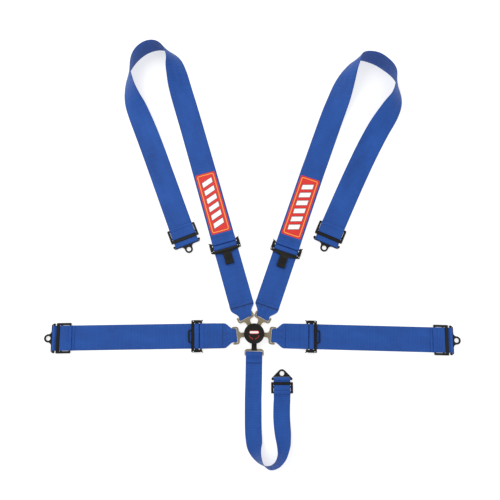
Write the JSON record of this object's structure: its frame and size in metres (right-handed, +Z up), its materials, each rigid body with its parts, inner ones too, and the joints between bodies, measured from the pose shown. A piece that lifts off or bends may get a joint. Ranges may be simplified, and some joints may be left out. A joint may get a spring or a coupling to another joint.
{
  "type": "racing harness",
  "caption": "Blue webbing racing harness laid flat: round turn-to-release buckle, shoulder, lap and crotch belts with adjusters and bolt-in anchor plates.",
  "frame": {"origin": "on the buckle's centre axis, in its flat back face", "axes": "+Y towards the shoulder belts, +X to the right lap belt, +Z up out of the buckle's knob"},
  "size_m": [1.2752, 1.3406, 0.0771],
  "materials": {
    "webbing": "woven polyester webbing, blue",
    "black_metal": "black powder-coated steel",
    "tongue_metal": "bronze zinc-plated steel",
    "black_plastic": "moulded black plastic",
    "label_red": "woven red label with an orange border",
    "bare_steel": "bare steel"
  },
  "bodies": {
    "root": {"back_plate": "black_metal", "buckle_housing": "black_metal", "housing_rivets": "bare_steel", "leaf_spring": "bare_steel", "crotch_tongue": "tongue_metal", "crotch_neck_cover": "black_plastic", "crotch_strap": "webbing"},
    "knob": {"knob": "black_plastic", "cam_plate": "bare_steel"},
    "crotch_slide": {"crotch_three_bar_slide": "black_metal", "crotch_slide_wrap": "webbing"},
    "crotch_anchor": {"crotch_anchor_plate": "black_metal"},
    "left_shoulder_lock_pin": {"left_shoulder_lock_pin": "bare_steel"},
    "left_shoulder_tongue_end": {"left_shoulder_tongue": "tongue_metal", "left_shoulder_tongue_loop": "webbing", "left_shoulder_lower_strap": "webbing"},
    "left_shoulder_anchor_belt": {"left_shoulder_upper_strap": "webbing", "left_shoulder_label": "label_red"},
    "left_shoulder_adjuster": {"left_shoulder_adjuster_frame": "black_metal", "left_shoulder_slide_bar": "black_metal", "left_shoulder_bar_wrap": "webbing", "left_shoulder_lever_cover": "black_plastic"},
    "left_shoulder_slide": {"left_shoulder_three_bar_slide": "black_metal", "left_shoulder_slide_wrap": "webbing"},
    "left_shoulder_anchor": {"left_shoulder_anchor_plate": "black_metal"},
    "right_shoulder_lock_pin": {"right_shoulder_lock_pin": "bare_steel"},
    "right_shoulder_tongue_end": {"right_shoulder_tongue": "tongue_metal", "right_shoulder_tongue_loop": "webbing", "right_shoulder_lower_strap": "webbing"},
    "right_shoulder_anchor_belt": {"right_shoulder_upper_strap": "webbing", "right_shoulder_label": "label_red"},
    "right_shoulder_adjuster": {"right_shoulder_adjuster_frame": "black_metal", "right_shoulder_slide_bar": "black_metal", "right_shoulder_bar_wrap": "webbing", "right_shoulder_lever_cover": "black_plastic"},
    "right_shoulder_slide": {"right_shoulder_three_bar_slide": "black_metal", "right_shoulder_slide_wrap": "webbing"},
    "right_shoulder_anchor": {"right_shoulder_anchor_plate": "black_metal"},
    "left_lap_lock_pin": {"left_lap_lock_pin": "bare_steel"},
    "left_lap_tongue_end": {"left_lap_tongue": "tongue_metal", "left_lap_tongue_loop": "webbing", "left_lap_inner_strap": "webbing"},
    "left_lap_anchor_belt": {"left_lap_outer_strap": "webbing"},
    "left_lap_adjuster": {"left_lap_adjuster_frame": "black_metal", "left_lap_slide_bar": "black_metal", "left_lap_bar_wrap": "webbing"},
    "left_lap_slide": {"left_lap_three_bar_slide": "black_metal", "left_lap_slide_wrap": "webbing"},
    "left_lap_anchor": {"left_lap_anchor_plate": "black_metal"},
    "right_lap_lock_pin": {"right_lap_lock_pin": "bare_steel"},
    "right_lap_tongue_end": {"right_lap_tongue": "tongue_metal", "right_lap_tongue_loop": "webbing", "right_lap_inner_strap": "webbing"},
    "right_lap_anchor_belt": {"right_lap_outer_strap": "webbing"},
    "right_lap_adjuster": {"right_lap_adjuster_frame": "black_metal", "right_lap_slide_bar": "black_metal", "right_lap_bar_wrap": "webbing"},
    "right_lap_slide": {"right_lap_three_bar_slide": "black_metal", "right_lap_slide_wrap": "webbing"},
    "right_lap_anchor": {"right_lap_anchor_plate": "black_metal"}
  },
  "joints": [
    {"name": "knob_turn", "type": "hinge", "parent": "root", "child": "knob", "pos_m": [0, 0, 0.012], "axis": [0, 0, 1], "range_deg": [-30, 0]},
    {"name": "crotch_slide_adjust", "type": "slide", "parent": "root", "child": "crotch_slide", "axis": [0, -1, 0], "range_m": [0, 0.04]},
    {"name": "crotch_anchor_swing", "type": "hinge", "parent": "root", "child": "crotch_anchor", "pos_m": [0.084, -0.134, 0.00515], "axis": [1, 0, 0], "range_deg": [0, 110]},
    {"name": "left_shoulder_lock_pin_lift", "type": "slide", "parent": "root", "child": "left_shoulder_lock_pin", "axis": [0, 0, 1], "range_m": [-0.0035, 0]},
    {"name": "left_shoulder_tongue_release", "type": "slide", "parent": "root", "child": "left_shoulder_tongue_end", "axis": [-0.4695, 0.8829, 0], "range_m": [0, 0.06]},
    {"name": "left_shoulder_belt_adjust", "type": "slide", "parent": "left_shoulder_tongue_end", "child": "left_shoulder_anchor_belt", "axis": [-0.274, 0.9617, 0], "range_m": [-0.1, 0.04]},
    {"name": "left_shoulder_adjuster_tilt", "type": "hinge", "parent": "left_shoulder_anchor_belt", "child": "left_shoulder_adjuster", "pos_m": [-0.09493, 0.28573, 0.0066], "axis": [-0.9617, -0.274, 0], "range_deg": [0, 40]},
    {"name": "left_shoulder_slide_adjust", "type": "slide", "parent": "left_shoulder_anchor_belt", "child": "left_shoulder_slide", "axis": [-0.3665, 0.9304, 0], "range_m": [0, 0.04]},
    {"name": "left_shoulder_anchor_swing", "type": "hinge", "parent": "left_shoulder_anchor_belt", "child": "left_shoulder_anchor", "pos_m": [-0.213, 0.282, 0.00515], "axis": [-0.9304, -0.3665, 0], "range_deg": [0, 110]},
    {"name": "right_shoulder_lock_pin_lift", "type": "slide", "parent": "root", "child": "right_shoulder_lock_pin", "axis": [0, 0, 1], "range_m": [-0.0035, 0]},
    {"name": "right_shoulder_tongue_release", "type": "slide", "parent": "root", "child": "right_shoulder_tongue_end", "axis": [0.4695, 0.8829, 0], "range_m": [0, 0.06]},
    {"name": "right_shoulder_belt_adjust", "type": "slide", "parent": "right_shoulder_tongue_end", "child": "right_shoulder_anchor_belt", "axis": [0.3289, 0.9444, 0], "range_m": [-0.1, 0.04]},
    {"name": "right_shoulder_adjuster_tilt", "type": "hinge", "parent": "right_shoulder_anchor_belt", "child": "right_shoulder_adjuster", "pos_m": [0.10584, 0.27273, 0.0066], "axis": [-0.9444, 0.3289, 0], "range_deg": [0, 40]},
    {"name": "right_shoulder_slide_adjust", "type": "slide", "parent": "right_shoulder_anchor_belt", "child": "right_shoulder_slide", "axis": [0.3987, 0.9171, 0], "range_m": [0, 0.04]},
    {"name": "right_shoulder_anchor_swing", "type": "hinge", "parent": "right_shoulder_anchor_belt", "child": "right_shoulder_anchor", "pos_m": [0.23, 0.286, 0.00515], "axis": [-0.9171, 0.3987, 0], "range_deg": [0, 110]},
    {"name": "left_lap_lock_pin_lift", "type": "slide", "parent": "root", "child": "left_lap_lock_pin", "axis": [0, 0, 1], "range_m": [-0.0035, 0]},
    {"name": "left_lap_tongue_release", "type": "slide", "parent": "root", "child": "left_lap_tongue_end", "axis": [-0.9945, -0.1045, 0], "range_m": [0, 0.06]},
    {"name": "left_lap_belt_adjust", "type": "slide", "parent": "left_lap_tongue_end", "child": "left_lap_anchor_belt", "axis": [-0.9999, -0.0157, 0], "range_m": [-0.04, 0.04]},
    {"name": "left_lap_adjuster_tilt", "type": "hinge", "parent": "left_lap_tongue_end", "child": "left_lap_adjuster", "pos_m": [-0.16269, -0.00736, 0.0066], "axis": [-0.0157, 0.9999, 0], "range_deg": [0, 40]},
    {"name": "left_lap_slide_adjust", "type": "slide", "parent": "left_lap_anchor_belt", "child": "left_lap_slide", "axis": [0.9999, 0.0157, 0], "range_m": [0, 0.04]},
    {"name": "left_lap_anchor_swing", "type": "hinge", "parent": "left_lap_anchor_belt", "child": "left_lap_anchor", "pos_m": [-0.6136, -0.014, 0.00515], "axis": [-0.0157, 0.9999, 0], "range_deg": [0, 110]},
    {"name": "right_lap_lock_pin_lift", "type": "slide", "parent": "root", "child": "right_lap_lock_pin", "axis": [0, 0, 1], "range_m": [-0.0035, 0]},
    {"name": "right_lap_tongue_release", "type": "slide", "parent": "root", "child": "right_lap_tongue_end", "axis": [0.9945, -0.1045, 0], "range_m": [0, 0.06]},
    {"name": "right_lap_belt_adjust", "type": "slide", "parent": "right_lap_tongue_end", "child": "right_lap_anchor_belt", "axis": [0.9997, -0.0262, 0], "range_m": [-0.04, 0.04]},
    {"name": "right_lap_adjuster_tilt", "type": "hinge", "parent": "right_lap_tongue_end", "child": "right_lap_adjuster", "pos_m": [0.16267, -0.0085, 0.0066], "axis": [-0.0262, -0.9997, 0], "range_deg": [0, 40]},
    {"name": "right_lap_slide_adjust", "type": "slide", "parent": "right_lap_anchor_belt", "child": "right_lap_slide", "axis": [-0.9997, 0.0262, 0], "range_m": [0, 0.04]},
    {"name": "right_lap_anchor_swing", "type": "hinge", "parent": "right_lap_anchor_belt", "child": "right_lap_anchor", "pos_m": [0.6026, -0.02, 0.00515], "axis": [-0.0262, -0.9997, 0], "range_deg": [0, 110]}
  ],
  "couplings": [
    {"joint": "left_shoulder_lock_pin_lift", "follows": "knob_turn", "m_per_rad": 0.00668},
    {"joint": "right_shoulder_lock_pin_lift", "follows": "knob_turn", "m_per_rad": 0.00668},
    {"joint": "left_lap_lock_pin_lift", "follows": "knob_turn", "m_per_rad": 0.00668},
    {"joint": "right_lap_lock_pin_lift", "follows": "knob_turn", "m_per_rad": 0.00668}
  ]
}
